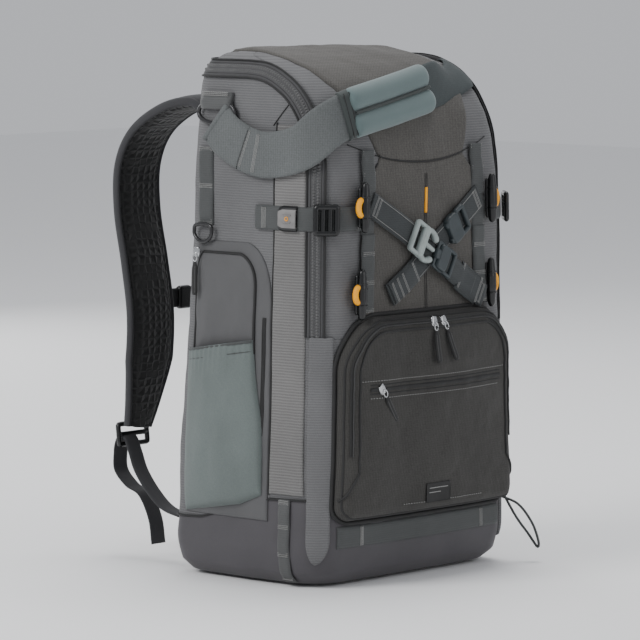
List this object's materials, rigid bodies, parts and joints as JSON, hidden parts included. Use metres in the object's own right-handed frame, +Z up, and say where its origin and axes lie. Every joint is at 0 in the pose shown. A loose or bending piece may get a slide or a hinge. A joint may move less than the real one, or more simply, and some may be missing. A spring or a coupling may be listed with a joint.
{
  "type": "camera backpack",
  "caption": "Tall camera backpack with a zip-round front lid, a puffed lower pocket, side pockets, crossed front straps and a padded harness.",
  "frame": {"origin": "middle of the base, on the surface that it stands on", "axes": "+Z up, -Y towards the front that opens, +Y towards the harness, +X to the right as seen from the front"},
  "size_m": [0.3342, 0.3671, 0.5235],
  "materials": {
    "light_fabric": "matte ripstop weave, light grey",
    "dark_fabric": "matte heavy weave, brownish dark grey",
    "coated_fabric": "smooth coated weave, dark grey",
    "stretch_fabric": "stretch knit, grey with a green cast",
    "webbing": "ribbed nylon webbing, dark grey",
    "carry_webbing": "twill webbing, grey with a green cast",
    "grip_fabric": "smooth padded cloth, blue-grey",
    "mesh_pad": "open air mesh over foam, black",
    "zip_tape": "woven zip tape with nylon coils",
    "black_plastic": "satin moulded plastic, black",
    "pale_plastic": "moulded plastic, pale grey",
    "ring_metal": "dark painted wire",
    "amber_cord": "elastic loop, amber yellow"
  },
  "bodies": {
    "root": {"back_pad_left": "mesh_pad", "back_pad_right": "mesh_pad", "base_boot": "coated_fabric", "base_webbing": "webbing", "body_shell": "light_fabric", "buckle_catch": "black_plastic", "buckle_frame": "pale_plastic", "carry_strap": "carry_webbing", "chest_buckle": "black_plastic", "chest_strap": "webbing", "compression_strap_left": "webbing", "compression_strap_right": "webbing", "cord_loop": "webbing", "corner_tongue_left": "light_fabric", "corner_tongue_right": "light_fabric", "crown_panel": "dark_fabric", "elastic_loop_lower_left": "amber_cord", "elastic_loop_lower_right": "amber_cord", "elastic_loop_upper_left": "amber_cord", "elastic_loop_upper_right": "amber_cord", "falling_strap": "webbing", "front_daisy_chain_left": "webbing", "front_daisy_chain_right": "webbing", "front_panel": "dark_fabric", "front_pocket": "dark_fabric", "grip_pad": "grip_fabric", "hook_lower_left": "black_plastic", "hook_lower_right": "black_plastic", "hook_upper_left": "black_plastic", "hook_upper_right": "black_plastic", "ladder_lock_left": "black_plastic", "ladder_lock_right": "black_plastic", "lid_shell": "light_fabric", "lower_ring_left": "ring_metal", "lower_ring_right": "ring_metal", "lumbar_pad": "mesh_pad", "main_zip": "zip_tape", "open_pocket_left": "stretch_fabric", "open_pocket_right": "stretch_fabric", "pocket_label": "coated_fabric", "pocket_rim": "dark_fabric", "ring_tab_left": "light_fabric", "ring_tab_right": "light_fabric", "rising_buckle": "black_plastic", "rising_strap": "webbing", "shoulder_strap_left": "mesh_pad", "shoulder_strap_right": "mesh_pad", "side_buckle_left": "black_plastic", "side_buckle_right": "black_plastic", "side_daisy_chain_left": "webbing", "side_daisy_chain_right": "webbing", "side_pocket_left": "coated_fabric", "side_pocket_right": "coated_fabric", "side_strip_left": "light_fabric", "side_strip_right": "light_fabric", "strap_webbing_left": "webbing", "strap_webbing_right": "webbing", "tail_webbing": "webbing", "upper_ring_left": "ring_metal", "upper_ring_right": "ring_metal"}
  },
  "joints": []
}
